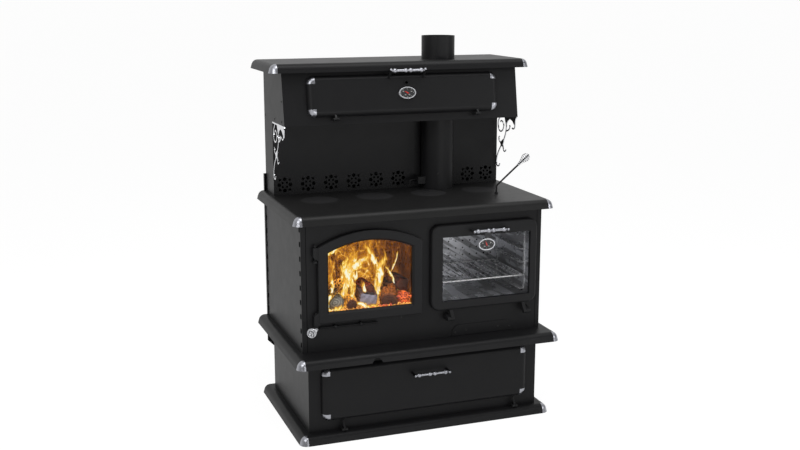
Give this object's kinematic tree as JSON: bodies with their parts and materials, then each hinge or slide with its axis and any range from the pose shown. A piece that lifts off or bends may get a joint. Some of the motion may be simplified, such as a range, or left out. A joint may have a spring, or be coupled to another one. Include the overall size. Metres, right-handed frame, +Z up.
{
  "type": "wood cookstove",
  "caption": "Black wood-burning cookstove on a storage pedestal, with an arched glass fire door, a drop-down glass oven door, a flue and a warming cabinet over the backsplash.",
  "frame": {"origin": "on the floor, in the middle of the plinth's underside", "axes": "+Z up, +X to the stove's right as seen from the front, the front faces -Y"},
  "size_m": [1.218, 0.7529, 1.6962],
  "materials": {
    "black_paint": "satin black stove paint on sheet steel",
    "black_iron": "satin black cast iron and bar",
    "bright_chrome": "polished chrome plate",
    "bare_steel": "plain grey steel",
    "coil_wire": "drawn grey wire",
    "clear_glass": "clear ceramic glass",
    "rope_seal": "woven glass rope",
    "firebrick": "matt buff firebrick",
    "black_dial": "matt black dial",
    "red_needle": "red enamel"
  },
  "bodies": {
    "stove": {"base_plinth": "black_paint", "base_pan": "black_paint", "plinth_corner_caps": "bright_chrome", "shelf_corner_caps": "bright_chrome", "cooktop_corner_caps": "bright_chrome", "lid_corner_caps": "bright_chrome", "pedestal_case": "black_paint", "mid_shelf": "black_paint", "cabinet_front": "black_paint", "cabinet_side_left": "black_paint", "cabinet_side_right": "black_paint", "cabinet_back": "black_paint", "cleanout_cover": "black_paint", "firebox_shell": "black_iron", "firebricks": "firebrick", "baffle_plate": "black_iron", "secondary_air_tubes": "bare_steel", "oven_liner": "bare_steel", "oven_rack_guides": "bare_steel", "fire_door_hinges": "black_iron", "oven_door_hinges": "black_iron", "cooktop": "black_iron", "air_control_guides": "black_iron", "flue_pipe": "black_paint", "flue_damper_index": "black_paint", "backsplash_left": "black_paint", "backsplash_right": "black_paint", "hood_side_left": "black_paint", "hood_side_right": "black_paint", "hood_back": "black_paint", "hood_floor": "black_paint", "hood_front": "black_paint", "lid": "black_paint", "scroll_brackets": "black_iron", "drop_door_hinges": "black_iron", "rear_heat_shield": "black_paint"},
    "oven_rack": {"oven_rack": "bright_chrome"},
    "fire_door": {"fire_door": "black_iron", "fire_door_glass": "clear_glass", "fire_door_seal": "rope_seal"},
    "oven_door": {"oven_door": "black_iron", "oven_door_glass": "clear_glass", "oven_door_handle": "bright_chrome", "oven_thermometer": "bright_chrome", "oven_thermometer_dial": "black_dial"},
    "oven_needle": {"oven_thermometer_needle": "red_needle"},
    "oven_damper": {"oven_damper_rod": "black_iron", "oven_damper_coil": "coil_wire"},
    "air_control": {"air_control_rod": "black_iron", "air_control_coil": "coil_wire"},
    "flue_damper": {"flue_damper": "black_iron"},
    "warming_door": {"warming_door": "black_paint", "warming_door_corner_caps": "bright_chrome", "warming_door_handle": "bright_chrome", "warming_thermometer": "bright_chrome", "warming_thermometer_dial": "black_dial"},
    "warming_needle": {"warming_thermometer_needle": "red_needle"},
    "storage_door": {"storage_door": "black_paint", "storage_door_corner_caps": "bright_chrome", "storage_door_handle": "bright_chrome"}
  },
  "joints": [
    {"name": "fire_door_hinge", "type": "hinge", "parent": "stove", "child": "fire_door", "pos_m": [-0.4991, -0.2961, 0.66], "axis": [0, 0, -1], "range_deg": [0, 110]},
    {"name": "oven_door_hinge", "type": "hinge", "parent": "stove", "child": "oven_door", "pos_m": [0.28, -0.3211, 0.49], "axis": [1, 0, 0], "range_deg": [0, 90]},
    {"name": "oven_rack_slide", "type": "slide", "parent": "stove", "child": "oven_rack", "axis": [0, -1, 0], "range_m": [0, 0.15]},
    {"name": "oven_needle_turn", "type": "hinge", "parent": "oven_door", "child": "oven_needle", "pos_m": [0.27555, -0.3097, 0.81], "axis": [0, -1, 0], "range_deg": [-155, 115]},
    {"name": "warming_door_hinge", "type": "hinge", "parent": "stove", "child": "warming_door", "pos_m": [0.007, -0.0539, 1.35572], "axis": [1, 0, 0], "range_deg": [0, 100]},
    {"name": "warming_needle_turn", "type": "hinge", "parent": "warming_door", "child": "warming_needle", "pos_m": [0.005, -0.03974, 1.4578], "axis": [0, -0.9851, 0.1719], "range_deg": [-195, 75]},
    {"name": "storage_door_hinge", "type": "hinge", "parent": "stove", "child": "storage_door", "pos_m": [0.017, -0.3277, 0.046], "axis": [1, 0, 0], "range_deg": [0, 85]},
    {"name": "oven_damper_turn", "type": "hinge", "parent": "stove", "child": "oven_damper", "pos_m": [0.415, -0.104, 0.989], "axis": [0, 0, -1], "range_deg": [0, 90]},
    {"name": "flue_damper_turn", "type": "hinge", "parent": "stove", "child": "flue_damper", "pos_m": [0.225, 0.15, 1.0327], "axis": [-1, 0, 0], "range_deg": [0, 90]},
    {"name": "air_control_slide", "type": "slide", "parent": "stove", "child": "air_control", "axis": [1, 0, 0], "range_m": [0, 0.05]}
  ],
  "couplings": [
    {"joint": "oven_rack_slide", "follows": "oven_door_hinge", "m_per_rad": 0.0954}
  ]
}
